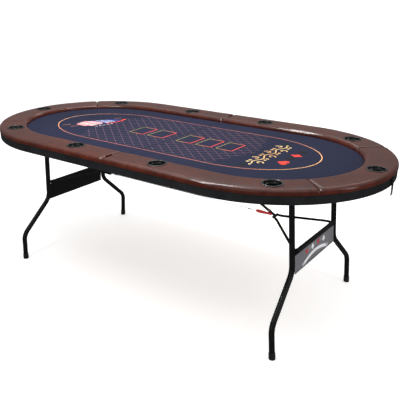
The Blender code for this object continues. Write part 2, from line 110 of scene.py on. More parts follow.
class Mat:
    """Nodes of a material, given by a name, or of the world."""
    def __init__(self, owner, shader="Principled BSDF"):
        self.mat = bpy.data.materials.new(owner) if isinstance(owner, str) else owner
        self.mat.use_nodes = True
        self.tree = self.mat.node_tree
        self.shader = self.tree.nodes[shader]
        self.coord = self.tree.nodes.new("ShaderNodeTexCoord").outputs["Object"]

    def node(self, kind, inputs=(), **props):
        n = self.tree.nodes.new("ShaderNode" + kind)
        for key, value in props.items():
            setattr(n, key, value)
        for key, value in dict(inputs).items():
            self.put(n.inputs[key], value)
        return n

    def put(self, socket, value):
        if isinstance(value, bpy.types.NodeSocket):
            self.tree.links.new(value, socket)
        else:
            socket.default_value = value

    def math(self, op, a, b=0.0):
        return self.node("Math", {0: a, 1: b}, operation=op).outputs[0]

    def weigh(self, a, share_a, b, share_b):
        return self.math("ADD", self.math("MULTIPLY", a, share_a),
                         self.math("MULTIPLY", b, share_b))

    def noise(self, scale, detail=3.0, rough=0.55, stretch=None):
        where = self.coord
        if stretch:
            where = self.node("Mapping", {"Vector": where, "Scale": stretch}).outputs[0]
        return self.node("TexNoise", {"Vector": where, "Scale": scale, "Detail": detail,
                                      "Roughness": rough}).outputs["Fac"]

    def voronoi(self, scale, feature="F1", out="Distance"):
        return self.node("TexVoronoi", {"Vector": self.coord, "Scale": scale},
                         feature=feature).outputs[out]

    def ramp(self, fac, stops):
        n = self.node("ValToRGB", {"Fac": fac})
        line = n.color_ramp
        while len(line.elements) < len(stops):
            line.elements.new(0.5)
        for e, (pos, col) in zip(line.elements, stops.items()):
            e.position, e.color = pos, srgb(*col)
        return n.outputs["Color"]

    def grey(self, fac, low, high, a=0.0, b=1.0):
        """Maps a to b onto low to high."""
        return self.node("MapRange", {"Value": fac, "From Min": a, "From Max": b, "To Min": low,
                                      "To Max": high}).outputs["Result"]

    def mix(self, fac, a, b, blend="MIX"):
        n = self.node("Mix", data_type="RGBA", blend_type=blend)
        for socket, value in (("Factor", fac), (6, a), (7, b)):
            self.put(n.inputs[socket], srgb(*value) if isinstance(value, tuple) else value)
        return n.outputs[2]

    def bump(self, height, distance, strength=1.0, under=None):
        n = self.node("Bump", {"Height": height, "Distance": distance, "Strength": strength})
        if under is not None:
            self.put(n.inputs["Normal"], under)
        return n.outputs["Normal"]

    def set(self, **values):
        names = {"colour": "Base Color", "rough": "Roughness", "metal": "Metallic",
                 "normal": "Normal", "coat": "Coat Weight", "coat_rough": "Coat Roughness",
                 "sheen": "Sheen Weight", "sheen_rough": "Sheen Roughness",
                 "spec": "Specular IOR Level", "sheen_tint": "Sheen Tint",
                 "coat_normal": "Coat Normal"}
        for key, value in values.items():
            self.put(self.shader.inputs[names[key]], value)
        return self.mat


def leather():
    m = Mat("brown_leatherette")
    broad = m.noise(5.0, 4.0, 0.6)
    cloud = m.noise(38.0, 5.0, 0.65)
    pores = m.voronoi(520.0)
    creases = m.voronoi(300.0, "DISTANCE_TO_EDGE")
    colour = m.ramp(m.weigh(broad, 0.45, cloud, 0.55),
                    {0.3: (45, 14, 7), 0.5: (70, 25, 13), 0.72: (94, 39, 22)})
    dark = m.grey(creases, 0.72, 1.0, 0.0, 0.14)
    colour = m.mix(1.0, colour, m.node("CombineColor", {0: dark, 1: dark, 2: dark}).outputs[0],
                   "MULTIPLY")
    edge = m.grey(creases, 0.0, 1.0, 0.0, 0.16)
    normal = m.bump(m.weigh(edge, 0.55, pores, 0.35), 0.00022, 0.75)
    normal = m.bump(m.noise(1400.0, 2.0), 0.00006, 0.5, normal)
    normal = m.bump(m.noise(16.0, 2.0), 0.0016, 0.35, normal)
    polish = m.bump(m.noise(22.0, 3.0), 0.0008, 0.25, m.bump(edge, 0.0001, 0.3))
    rough = m.math("ADD", m.grey(cloud, 0.28, 0.42), m.math("MULTIPLY", pores, 0.06))
    return m.set(colour=colour, rough=rough, normal=normal, coat=0.55, coat_rough=0.04, spec=0.08,
                 coat_normal=polish)


def cloth():
    """Woven speed cloth: two thread directions plus fuzz."""
    m = Mat("navy_speed_cloth")
    sep = m.node("SeparateXYZ", {0: m.coord})
    waves = [m.grey(m.math("SINE", m.math("MULTIPLY", sep.outputs[axis], THREADS)),
                    0.0, 1.0, -1.0, 1.0) for axis in (0, 1)]
    weave = m.math("MULTIPLY", waves[0], waves[1])
    tone = m.weigh(m.noise(260.0, 4.0, 0.75), 0.6, m.noise(3.0, 3.0), 0.4)
    colour = m.mix(m.grey(tone, 0.0, 1.0, 0.3, 0.72), (18, 21, 40), (27, 31, 55))
    normal = m.bump(m.weigh(weave, 0.5, m.noise(900.0, 3.0, 0.7), 0.5), 0.00018, 0.8)
    normal = m.bump(m.noise(24.0, 2.0), 0.001, 0.15, normal)
    return m.set(colour=colour, rough=0.92, normal=normal, sheen=0.06, sheen_rough=0.5,
                 sheen_tint=(0.55, 0.6, 0.85, 1.0), spec=0.15)


def print_ink(name, stops, worn, axis=0, low=0.0, high=1.0):
    """Ink printed on the cloth: it takes the cloth's threads and lets a little blue through."""
    m = Mat(name)
    sep = m.node("SeparateXYZ", {0: m.coord})
    colour = m.ramp(m.grey(sep.outputs[axis], 0.0, 1.0, low, high), stops)
    wear = m.grey(m.noise(420.0, 4.0, 0.8), 0.0, worn, 0.42, 0.72)
    threads = m.math("SINE", m.math("MULTIPLY", sep.outputs[1], THREADS))
    normal = m.bump(m.math("ADD", m.noise(900.0, 3.0), m.math("MULTIPLY", threads, 0.3)),
                    0.00015, 0.7)
    return m.set(colour=m.mix(wear, colour, (32, 35, 56)), rough=0.8, normal=normal, spec=0.2)


def painted_metal(name, base, rough):
    """Powder coat: orange peel, slight dust and paler rubbed spots."""
    m = Mat(name)
    dust = m.noise(45.0, 5.0, 0.7)
    colour = m.mix(m.grey(dust, 0.0, 0.35, 0.5, 0.8), base, paler(base, 12))
    normal = m.bump(m.noise(700.0, 2.0, 0.5), 0.00012, 0.5)
    normal = m.bump(m.noise(60.0, 3.0), 0.0003, 0.15, normal)
    return m.set(colour=colour, rough=m.grey(dust, *rough), normal=normal, spec=0.16, coat=0.06,
                 coat_rough=0.08)


def cup_plastic():
    m = Mat("black_cup_plastic")
    base = (14, 17, 18)
    smear = m.noise(30.0, 4.0, 0.65)
    colour = m.mix(m.grey(smear, 0.0, 0.3, 0.45, 0.8), base, paler(base, 16))
    return m.set(colour=colour, rough=m.grey(smear, 0.16, 0.3),
                 normal=m.bump(m.noise(850.0, 2.0), 0.00008, 0.5), spec=0.5)


def edge_band():
    m = Mat("black_edge_band")
    grain = m.noise(420.0, 3.0, 0.6, stretch=(1.0, 1.0, 0.12))
    cloud = m.noise(14.0, 4.0, 0.6)
    colour = m.mix(m.grey(cloud, 0.0, 1.0, 0.35, 0.75), (21, 23, 25), (32, 34, 37))
    height = m.weigh(grain, 0.6, m.voronoi(900.0), 0.4)
    return m.set(colour=colour, rough=m.grey(cloud, 0.44, 0.58), normal=m.bump(height, 0.0002,
                                                                               0.5),
                 spec=0.16)


def rubber():
    m = Mat("black_rubber")
    dust = m.noise(80.0, 5.0, 0.7)
    colour = m.mix(m.grey(dust, 0.0, 0.5, 0.5, 0.8), (16, 16, 17), (52, 51, 50))
    return m.set(colour=colour, rough=m.grey(dust, 0.6, 0.8),
                 normal=m.bump(m.noise(600.0), 0.0002, 0.6))


def plated(name, tint, rough):
    m = Mat(name)
    brushed = m.noise(160.0, 4.0, 0.6, stretch=(1.0, 14.0, 1.0))
    spots = m.noise(35.0, 5.0, 0.7)
    colour = m.mix(m.grey(spots, 0.0, 0.6, 0.5, 0.85), tint, (120, 118, 114))
    return m.set(colour=colour, rough=m.grey(brushed, *rough), metal=1.0,
                 normal=m.bump(brushed, 0.00004, 0.5))


def red_paint():
    m = Mat("red_enamel")
    chips = m.noise(220.0, 5.0, 0.7)
    colour = m.mix(m.grey(chips, 0.0, 1.0, 0.66, 0.72), (196, 34, 28), (120, 30, 28))
    return m.set(colour=colour, rough=m.grey(chips, 0.25, 0.45), normal=m.bump(chips, 0.0001, 0.4),
                 coat=0.3, coat_rough=0.15)


def fibreboard():
    m = Mat("underside_board")
    chip = m.node("SeparateColor", {0: m.voronoi(260.0, "F1", "Color")}).outputs[0]
    streak = m.noise(9.0, 5.0, 0.65, stretch=(1.0, 8.0, 1.0))
    colour = m.ramp(m.weigh(streak, 0.5, chip, 0.5),
                    {0.2: (92, 70, 50), 0.5: (120, 94, 68), 0.8: (146, 120, 90)})
    return m.set(colour=colour, rough=0.85, normal=m.bump(chip, 0.0003, 0.4), spec=0.2)


def panel_face():
    m = Mat("grey_panel_coat")
    cloud = m.noise(12.0, 4.0, 0.6)
    colour = m.mix(m.grey(cloud, 0.0, 1.0, 0.3, 0.7), (104, 104, 109), (124, 124, 129))
    return m.set(colour=colour, rough=m.grey(cloud, 0.34, 0.5), spec=0.4,
                 normal=m.bump(m.noise(500.0, 3.0, 0.6), 0.00012, 0.5))


def flat_ink(name, colour):
    m = Mat(name)
    fleck = m.noise(600.0, 3.0, 0.6)
    tone = m.mix(m.grey(fleck, 0.0, 0.35, 0.45, 0.8), colour, tuple(int(c * 0.7) for c in colour))
    return m.set(colour=tone, rough=m.grey(fleck, 0.39, 0.53), normal=m.bump(fleck, 0.0001, 0.4))


LEATHER = leather()
FELT = cloth()
BAND = edge_band()
CUP = cup_plastic()
TUBE = painted_metal("black_powder_coat", (17, 17, 18), (0.2, 0.32))
DARK = painted_metal("black_bracket_coat", (18, 18, 19), (0.34, 0.46))
BRONZE = painted_metal("brown_hinge_coat", (84, 42, 30), (0.35, 0.5))
STEEL = plated("bright_plated_steel", (190, 192, 196), (0.14, 0.3))
WIRE = plated("dark_wire_rope", (58, 60, 63), (0.25, 0.4))
ZINC = plated("zinc_screw_steel", (168, 168, 165), (0.25, 0.4))
RUBBER = rubber()
RED = red_paint()
BOARD = fibreboard()
GREY = panel_face()
PANEL_INKS = [flat_ink(name + "_panel_ink", colour) for name, colour in
              (("white", (236, 238, 242)), ("red", (196, 44, 46)), ("pale", (176, 180, 188)))]
WHITE_PANEL, RED_PANEL, PALE_PANEL = range(3)

BOXES = ((-0.269, -0.18), (-0.148, -0.052), (0.033, 0.121), (0.15, 0.236), (0.268, 0.354))
PRINT_INKS = [
    print_ink("oval_line_ink", {0: (240, 176, 130), 0.14: (196, 118, 100), 0.5: (176, 104, 96),
                                0.86: (206, 124, 100), 1: (250, 190, 130)}, 0.3, 0, -0.77, 0.74),
    print_ink("lattice_ink", {0: (112, 92, 108), 1: (122, 88, 98)}, 0.5, 0, -0.5, 0.45),
    print_ink("black_suit_ink", {0: (18, 19, 26), 1: (16, 17, 24)}, 0.12),
    print_ink("red_suit_ink", {0: (232, 62, 50), 1: (238, 70, 52)}, 0.08),
    print_ink("gold_ink", {0: (236, 206, 150), 0.5: (214, 164, 104), 1: (232, 198, 140)}, 0.1,
              1, -0.16, 0.15),
    print_ink("pink_ink", {0: (236, 160, 160), 1: (228, 176, 180)}, 0.1),
    print_ink("blue_ink", {0: (52, 70, 150), 1: (70, 88, 165)}, 0.1),
    print_ink("pale_print_ink", {0: (226, 226, 232), 1: (210, 212, 226)}, 0.1)]
OVAL, LATTICE, BLACK, RED_SUIT, GOLD, PINK, BLUE, PALE, FIRST_BOX = range(9)
PRINT_INKS += [print_ink(f"box_ink_{i}", {0: (136, 132, 84), 0.45: (186, 128, 84),
                                            1: (226, 78, 66)}, 0.25, 0, *ends)
               for i, ends in enumerate(BOXES)]


# ---------------------------------------------------------------- mesh helpers
def new_object(name, data):
    obj = bpy.data.objects.new(name, data)
    bpy.context.scene.collection.objects.link(obj)
    return obj


def new_mesh_object(name, bm, mats=()):
    mesh = bpy.data.meshes.new(name)
    bm.to_mesh(mesh)
    bm.free()
    for mat in mats:
        mesh.materials.append(mat)
    return new_object(name, mesh)


def finish_mesh(name, bm, mats, body, smooth=True, sharp=None):
    bmesh.ops.remove_doubles(bm, verts=bm.verts, dist=0.000005)
    bmesh.ops.recalc_face_normals(bm, faces=bm.faces)
    for f in bm.faces:
        f.smooth = smooth
    if sharp is not None:
        for e in bm.edges:
            if len(e.link_faces) == 2 and e.calc_face_angle(0) > radians(sharp):
                e.smooth = False
    obj = new_mesh_object(name, bm, mats if isinstance(mats, list) else [mats])
    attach(obj, body)
    return obj


def stand_in(prefix, node, bm, mats, body, **looks):
    """Finishes a piece that takes the place of the CAD node it is named after."""
    obj = finish_mesh(prefix + "_" + node, bm, mats, body, **looks)
    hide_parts(node)
    return obj


def skin(bm, rings, caps=True, loop=False):
    """Joins closed rings of points; caps the two ends, or joins the last ring to the first."""
    loops = [[bm.verts.new(p) for p in ring] for ring in rings]
    for a, b in list(zip(loops, loops[1:])) + ([(loops[-1], loops[0])] if loop else []):
        for i in range(len(a)):
            j = (i + 1) % len(a)
            bm.faces.new((a[i], a[j], b[j], b[i]))
    if caps and not loop:
        bm.faces.new(loops[0])
        bm.faces.new(loops[-1][::-1])
    return loops


def frames_along(path, closed=False):
    """Points with tangent, normal and binormal that don't twist."""
    pts = [Vector(p) for p in path]
    n = len(pts)
    tangents = []
    for i in range(n):
        if closed:
            t = pts[(i + 1) % n] - pts[i - 1]
        else:
            t = pts[min(i + 1, n - 1)] - pts[max(i - 1, 0)]
        tangents.append(t.normalized())
    up = Vector((0, 0, 1)) if abs(tangents[0].z) < 0.9 else Vector((0, 1, 0))
    normal = tangents[0].cross(up).normalized()
    out = []
    for p, t in zip(pts, tangents):
        normal = (normal - t * normal.dot(t)).normalized()
        out.append((p, t, normal, t.cross(normal)))
    return out


def pipe(bm, path, radius, sides=24, closed=False, round_ends=0.0):
    """Tube along a path; round_ends is the radius of the rounding at its two ends."""
    spots = frames_along(path, closed)
    radii = [radius(i) if callable(radius) else radius for i in range(len(spots))]
    items = [(*spot, q) for spot, q in zip(spots, radii)]
    if round_ends and not closed:
        r = round_ends

        def cap(spot, q, sign):
            """Three rings that close in on the end, the end first, then the full-width ring."""
            p, *turn = spot
            t = turn[0] * sign
            rings = [(p + t * r * (1 - cos(a)), *turn, q - r * (1 - sin(a)))
                     for a in (0, pi / 6, pi / 3)]
            return rings + [(p + t * r, *turn, q)]

        items = (cap(spots[0], radii[0], 1) + items[1:-1]
                 + cap(spots[-1], radii[-1], -1)[::-1])
    return skin(bm, [[p + (n * cos(2 * pi * k / sides) + b * sin(2 * pi * k / sides)) * q
                      for k in range(sides)] for p, _, n, b, q in items],
                caps=not closed, loop=closed)


def bend(points, radius, steps):
    path = [Vector(points[0])]
    for a, b, c in zip(points, points[1:], points[2:]):
        a, b, c = Vector(a), Vector(b), Vector(c)
        u, v = (a - b).normalized(), (c - b).normalized()
        turn = pi - acos(max(-1.0, min(1.0, u.dot(v))))
        reach = radius * sin(turn / 2) / cos(turn / 2)
        start, end = b + u * reach, b + v * reach
        for i in range(steps + 1):
            t = i / steps
            path.append(start * (1 - t) ** 2 + b * 2 * t * (1 - t) + end * t ** 2)
    path.append(Vector(points[-1]))
    return path


def split_long(path, step):
    out = [path[0]]
    for a, b in zip(path, path[1:]):
        n = max(1, round((b - a).length / step))
        out += [a.lerp(b, i / n) for i in range(1, n + 1)]
    return out


def lathe(bm, profile, centre, axis=(0, 1, 0), sides=32, mat=0):
    """Turns (radius, height) points about axis; radius 0 ends close to a point."""
    turn = Vector((0, 0, 1)).rotation_difference(Vector(axis)).to_matrix()
    c = Vector(centre)
    rings = []
    for r, h in profile:
        count = sides if r > 1e-7 else 1
        rings.append([bm.verts.new(c + turn @ Vector((r * cos(2 * pi * k / sides),
                                                      r * sin(2 * pi * k / sides), h)))
                      for k in range(count)])
    for a, b in zip(rings, rings[1:]):
        for k in range(sides):
            j = (k + 1) % sides
            if len(a) == 1 and len(b) == 1:
                continue
            if len(a) == 1:
                corners = (a[0], b[j], b[k])
            elif len(b) == 1:
                corners = (a[k], a[j], b[0])
            else:
                corners = (a[k], a[j], b[j], b[k])
            bm.faces.new(corners).material_index = mat


def spool(half):
    """Profile that is the same towards both ends, from the half that starts at one end."""
    return [(r, -h) for r, h in half] + [(r, h) for r, h in reversed(half)]


def facing(profile, ys):
    """A profile drawn for the rear side, turned round for the front side."""
    return profile if ys > 0 else [(r, -h) for r, h in reversed(profile)]


def bush(bm, half, centre, sides=32):
    """Ring with a bore: the half profile starts and ends on the bore."""
    profile = spool(half)
    lathe(bm, profile + profile[:1], centre, sides=sides)


def round_corners(u0, u1, v0, v1, r):
    """Outline whose corners are quarter circles of radius r about the four given points."""
    return [(u + r * cos(a0 + pi / 2 * k / 4), v + r * sin(a0 + pi / 2 * k / 4))
            for u, v, a0 in ((u1, v1, 0), (u0, v1, pi / 2), (u0, v0, pi), (u1, v0, 3 * pi / 2))
            for k in range(5)]


def rounded_box(bm, low, high, r):
    made = bmesh.ops.create_cube(bm, size=1.0)["verts"]
    low, high = Vector(low), Vector(high)
    for v in made:
        v.co = [low[i] + (v.co[i] + 0.5) * (high[i] - low[i]) for i in range(3)]
    edges = list(dict.fromkeys(e for v in made for e in v.link_edges))
    bmesh.ops.bevel(bm, geom=edges, offset=r, segments=2, profile=0.5, affect="EDGES")


def cut_round(obj, spots, radius, low, high, sides=64):
    """Cuts plain round holes, then applies the cut."""
    bm = bmesh.new()
    for x, y in spots:
        bmesh.ops.create_cone(bm, cap_ends=True, segments=sides, radius1=radius, radius2=radius,
                              depth=high - low, matrix=Matrix.Translation((x, y,
                                                                           (low + high) / 2)))
    tool = new_mesh_object("cut", bm)
    spare = [obj.data, tool.data]
    mod = obj.modifiers.new("holes", "BOOLEAN")
    mod.object = tool
    mod.operation = "DIFFERENCE"
    mod.solver = "EXACT"
    bpy.context.view_layer.update()
    graph = bpy.context.evaluated_depsgraph_get()
    done = bpy.data.meshes.new_from_object(obj.evaluated_get(graph))
    obj.modifiers.clear()
    obj.data = done
    bpy.data.objects.remove(tool)
    for mesh in spare:
        bpy.data.meshes.remove(mesh)


# ---------------------------------------------------------------- padded rail
SHOULDER_Z, FIELD_EDGE_Z = 0.744, 0.7375       # where the pad's outer and inner sides start
PAD_INSIDE = 0.1408                             # inset of the pad's inner side
INSETS = mm((0, 0.6, 1.6, 3.2, 5.5, 8.5, 12.5, 17, 23, 31, 40, 49, 58, 67, 76, 85, 94, 103, 110,
             117, 122.5,
             127, 131, 134.5, 137.2, 139.2, 140.3, 140.8))
CUP_SPOTS = {label: {place: rim(st, inset, side) for place, st, inset in CUPS}
             for label, side in SIDES}
SEAM_STEPS = mm((0, 0.6, 1.6, 3, 5, 7.5, 10.5, 14, 18))     # close rings beside a seam
SEAM_ZONE = 0.0225


def seam_roll(distance, reach=0.017, depth=0.0085):
    """How far the pad rolls down beside a sewn seam."""
    if distance >= reach:
        return 0.0
    u = 1 - max(distance, 0.0) / reach
    return depth * (1 - sqrt(max(0.0, 1 - u ** 2.2)))


def pad_height(inset):
    """Crown of the pad over its width: tight outer shoulder, softer inner roll."""
    base = FIELD_EDGE_Z if inset > RAIL_WIDTH - 0.026 else SHOULDER_Z
    if inset < 0.017:
        f = (1 - (1 - inset / 0.017) ** 2.3) ** (1 / 2.3)
    elif inset > RAIL_WIDTH - 0.024:
        f = (1 - min(1.0, 1 - (RAIL_WIDTH - inset) / 0.024) ** 2.5) ** (1 / 2.1)
    else:
        f = 1.0
    dip = 0.0006 * (1 - cos(2 * pi * inset / RAIL_WIDTH)) / 2
    return base + (RAIL_TOP - base) * f - 0.0006 + dip


def station_list(part):
    """Stations along a pad, closer together beside its seams, with the way to each end."""
    if part == "end":
        raw = [("arc", -SEAM_ANGLE + 2 * SEAM_ANGLE * i / 96) for i in range(97)]
        gap0 = gap1 = 0.0004
    else:
        sign = -1 if part == "front" else 1
        raw = [(part, STRAIGHT_HALF * i / 66) for i in range(66)]
        raw += [("arc", sign * (pi / 2 - (pi / 2 - SEAM_ANGLE) * i / 60)) for i in range(61)]
        gap0, gap1 = 0.0002, 0.0004
    pts = [Vector(rim(s, 0.07)) for s in raw]
    run = [0.0]
    for a, b in zip(pts, pts[1:]):
        run.append(run[-1] + (b - a).length)
    total = run[-1]
    middle = total - 2 * SEAM_ZONE
    count = round(middle / 0.0075)
    wanted = [gap0 + d for d in SEAM_STEPS]
    wanted += [SEAM_ZONE + gap0 + (total - gap0 - gap1 - 2 * SEAM_ZONE) * i / count
               for i in range(count + 1)]
    wanted += [total - gap1 - d for d in reversed(SEAM_STEPS)]
    out, k = [], 0
    for w in wanted:
        while k < len(run) - 2 and run[k + 1] < w:
            k += 1
        t = (w - run[k]) / (run[k + 1] - run[k])
        (kind, start), (next_kind, end) = raw[k], raw[k + 1]
        if next_kind != kind:
            end = STRAIGHT_HALF
        out.append(((kind, start + (end - start) * t), w - gap0, total - gap1 - w))
    return out


def ripple(x, y):
    return (sin(31 * x + 17 * y) + sin(23 * y - 41 * x + 1.3) + sin(67 * x + 9 * y + 0.4)) / 3


def pucker(x, y, cups, share):
    """How far the leather is drawn down round the drink holders."""
    down = 0.0
    for cx, cy in cups:
        d = hypot(x - cx, y - cy)
        if d < 0.085:
            turn = atan2(y - cy, x - cx)
            fold = 0.5 + 0.5 * sin(11 * turn + 2.0 * sin(3 * turn))
            down += 0.0009 * exp(-((max(0.0, d - 0.041)) / 0.007) ** 2)
            down += 0.0005 * fold * exp(-((d - 0.048) / 0.009) ** 2) * share
    return down


def rail_pad(label, side, part):
    cups = CUP_SPOTS[label]
    underneath = mm(((140.8, 739), (140.8, 730.6), (140.2, 730.1), (9, 730.1), (8.6, 735.4),
                     (1.6, 735.4),
                     (0.4, 736.2), (0, 738.5), (0, 741.2)))
    rings = []
    for st, near, far in station_list(part):
        edge = min(near, far)
        roll = seam_roll(edge)
        pull = 0.0016 * exp(-(edge / 0.004) ** 2)
        ring = []
        for inset in INSETS:
            x, y = rim(st, max(inset, pull) if inset < 0.05 else min(inset, PAD_INSIDE - pull),
                       side)
            z = pad_height(inset)
            share = min(1.0, max(0.0, (z - SHOULDER_Z) / 0.012))
            z += 0.00035 * ripple(x, y) * share - roll * (0.35 + 0.65 * share)
            ring.append((x, y, min(z - pucker(x, y, cups.values(), share), RAIL_TOP)))
        for inset, z in underneath:
            inset = max(inset, pull) if inset < 0.05 else inset - 0.4 * pull
            ring.append((*rim(st, inset, side), z))
        rings.append(ring)
    bm = bmesh.new()
    skin(bm, rings)
    obj = stand_in("pad", f"rail_{label}_{part}", bm, [LEATHER, BOARD], label + "_half")
    for poly in obj.data.polygons:
        if poly.center.z < 0.7302 and poly.normal.z < -0.9:
            poly.material_index = 1
    cut_round(obj, [cups[p] for p in (part, part + "_corner") if p in cups], CUP_HOLE_R, 0.7, 0.79)
    for poly in obj.data.polygons:
        poly.use_smooth = True


def cup_holder(label, place):
    profile = mm(((0, 706.6), (12, 706.6), (12.5, 707.1), (13.5, 707.1), (14, 706.6), (27,
                                                                                       706.6),
                                                                                       (30.2,
                                                                                        707.2),
                  (32.2, 709), (32.9, 712), (33.8, 744), (33.9, 744.5), (34.5, 745), (34.7, 756),
                  (35, 758), (35.7, 759.2), (36.8, 759.8), (38.5, 759.9), (40.8, 759.8),
                  (42.1, 759.4), (42.8, 758.9), (43, 758.3), (42.8, 757.8), (42.1, 757.5),
                  (39, 757.4), (37.2, 756.8), (36.4, 755), (35.5, 708), (34.5, 705.2),
                  (32.5, 704.2), (0, 704)))
    bm = bmesh.new()
    lathe(bm, profile, (*CUP_SPOTS[label][place], 0), (0, 0, 1), 72)
    stand_in("drink", f"cup_{label}_{place}", bm, CUP, label + "_half", sharp=50)


# ---------------------------------------------------------------- felt, board and edge band
def half_stations(gap, arcs=72):
    """Stations round one half's outline, from the fold at the front to the fold at the rear."""
    line = [STRAIGHT_HALF * i / 12 for i in range(1, 12)]
    return ([("front", gap)] + [("front", x) for x in line]
            + [("arc", -pi / 2 + pi * i / arcs) for i in range(arcs + 1)]
            + [("rear", x) for x in reversed(line)] + [("rear", gap)])


def half_line(inset, side, gap):
    return [rim(s, inset, side) for s in half_stations(gap)]


def felt_piece(label, side):
    """Stretched cloth over a thin foam: flat in the field, easing down at the rail."""
    inset0 = RAIL_WIDTH + 0.0002
    steps = [(0.0, 0.7351), (0.0, 0.7356), (0.0012, 0.736), (0.004, 0.7363), (0.01, 0.7366),
             (0.022, FELT_TOP - 0.0001), (0.05, FELT_TOP)]
    bm = bmesh.new()
    loops = skin(bm, [[(x, y, z) for x, y in
                       half_line(inset0 + inset, side, FOLD_GAP + min(inset, 0.0008))]
                      for inset, z in steps], caps=False)
    bm.faces.new(loops[0])
    bm.faces.new(loops[-1])
    obj = stand_in("cloth", "felt_" + label, bm, FELT, label + "_half", sharp=60)


def edge_band_piece(label, side):
    section = mm(((2.2, 700.3), (3.4, 700), (12.8, 700), (14, 700.4), (14, 729.7), (7.6, 729.7),
                  (7.6, 734.7),
                  (3, 734.9), (2.2, 734.4), (2, 732), (2, 704)))
    bm = bmesh.new()
    skin(bm, [[(*rim(st, inset, side), z) for inset, z in section]
              for st in half_stations(BAND_GAP, 90)])
    stand_in("band", "apron_" + label, bm, BAND, label + "_half", sharp=35)


def board_piece(label, side):
    bm = bmesh.new()
    skin(bm, [[(x, y, z) for x, y in half_line(inset, side, FOLD_GAP)] for inset, z in
              mm(((142.2, 730), (141.5, 730.6), (141.5, 734.4), (142.2, 734.8)))])
    stand_in("deck", "board_" + label, bm, BOARD, label + "_half", sharp=30)


# ---------------------------------------------------------------- printed layout
PRINT_Z = FELT_TOP + 0.00012
INK_THICK = 0.0001
BOX_Y0, BOX_Y1 = -0.06, 0.062
OVAL_HALF = 0.27
OVAL_ENDS = {-1: (0.385, 0.381), 1: (0.372, 0.378)}     # where the round end starts, its reach


def flat_shape(bm, points, mat, z=PRINT_Z):
    top = [bm.verts.new((x, y, z)) for x, y in points]
    low = [bm.verts.new((x, y, z - INK_THICK)) for x, y in points]
    close_plate(bm, top, low, mat)


def close_plate(bm, top, low, mat):
    """Two outlines one above the other become a closed plate."""
    faces = [bm.faces.new(top), bm.faces.new(low[::-1])]
    for i in range(len(top)):
        j = (i + 1) % len(top)
        faces.append(bm.faces.new((top[j], top[i], low[i], low[j])))
    for f in faces:
        f.material_index = mat


def flat_line(bm, points, width, mat, closed=False, z=PRINT_Z):
    """Ribbon of even width along a flat path."""
    pts = [Vector((x, y)) for x, y in points]
    n = len(pts)
    left, right = [], []
    for i, p in enumerate(pts):
        a = pts[i - 1] if (i or closed) else p
        b = pts[(i + 1) % n] if (i < n - 1 or closed) else p
        d = (b - a).normalized()
        side = Vector((-d.y, d.x))
        if closed or 0 < i < n - 1:
            u, v = (p - a), (b - p)
            if u.length > 1e-9 and v.length > 1e-9:
                c = max(0.35, side.dot(Vector((-u.y, u.x)).normalized()))
                side = side / c
        left.append(p + side * width / 2)
        right.append(p - side * width / 2)
    top = [[bm.verts.new((q.x, q.y, z)) for q in row] for row in (left, right)]
    low = [[bm.verts.new((q.x, q.y, z - INK_THICK)) for q in row] for row in (left, right)]
    for i in range(n if closed else n - 1):
        j = (i + 1) % n
        quads = ((top[0][i], top[1][i], top[1][j], top[0][j]),
                 (low[0][j], low[1][j], low[1][i], low[0][i]),
                 (top[0][j], low[0][j], low[0][i], top[0][i]),
                 (top[1][i], low[1][i], low[1][j], top[1][j]))
        for q in quads:
            bm.faces.new(q).material_index = mat
    if not closed:
        for i in (0, n - 1):
            bm.faces.new((top[0][i], low[0][i], low[1][i], top[1][i])).material_index = mat


def oval_half(side):
    """The oval's path on one side of the fold."""
    start, reach = OVAL_ENDS[side]
    turns = [-pi / 2 + pi * i / 60 for i in range(61)]
    return ([(side * 0.0015, -OVAL_HALF)]
            + [(side * (start + reach * cos(a)), OVAL_HALF * sin(a)) for a in turns]
            + [(side * 0.0015, OVAL_HALF)])


def inside_oval(x, y, room):
    start, reach = OVAL_ENDS[1 if x > 0 else -1]
    half = OVAL_HALF - room
    if abs(x) <= start:
        return abs(y) < half
    return ((abs(x) - start) / (reach - room)) ** 2 + (y / half) ** 2 < 1


def spin(x, y, turn, cx, cy):
    return cx + x * cos(turn) - y * sin(turn), cy + x * sin(turn) + y * cos(turn)


def heart(cx, cy, s, turn=0.0):
    out = []
    for i in range(40):
        a = 2 * pi * i / 40
        x = 16 * sin(a) ** 3 / 17
        y = (13 * cos(a) - 5 * cos(2 * a) - 2 * cos(3 * a) - cos(4 * a)) / 17
        out.append(spin(x * s, y * s, turn, cx, cy))
    return out


def diamond(cx, cy, s, turn=0.0):
    out = []
    tips = [(0.72 * s * cos(pi / 2 * k), s * sin(pi / 2 * k)) for k in range(5)]
    for p, q in zip(tips, tips[1:]):
        for i in range(6):
            t = i / 6
            pinch = 1 - 0.1 * sin(pi * t)
            out.append(spin((p[0] + (q[0] - p[0]) * t) * pinch, (p[1] + (q[1] - p[1]) * t) * pinch,
                            turn, cx, cy))
    return out


def disc(cx, cy, r, count=20):
    return [(cx + r * cos(2 * pi * i / count), cy + r * sin(2 * pi * i / count))
            for i in range(count)]


def stem(bm, cx, cy, s, turn, mat, rows, z):
    """Foot of a club or spade: the right-hand points, mirrored."""
    points = [(-x, y) for x, y in rows[:1]] + list(rows) + [(-x, y) for x, y in rows[:0:-1]]
    flat_shape(bm, [spin(x * s, y * s, turn, cx, cy) for x, y in points][::-1], mat, z)


def club(bm, cx, cy, s, turn, mat):
    for k, (dx, dy) in enumerate(((0, 0.46), (-0.46, -0.16), (0.46, -0.16))):
        x, y = spin(dx * s, dy * s, turn, cx, cy)
        flat_shape(bm, disc(x, y, 0.42 * s), mat, PRINT_Z + 0.00002 * k)
    stem(bm, cx, cy, s, turn, mat, ((0.1, 0.1), (0.14, -0.5), (0.34, -0.92)), PRINT_Z + 0.00007)


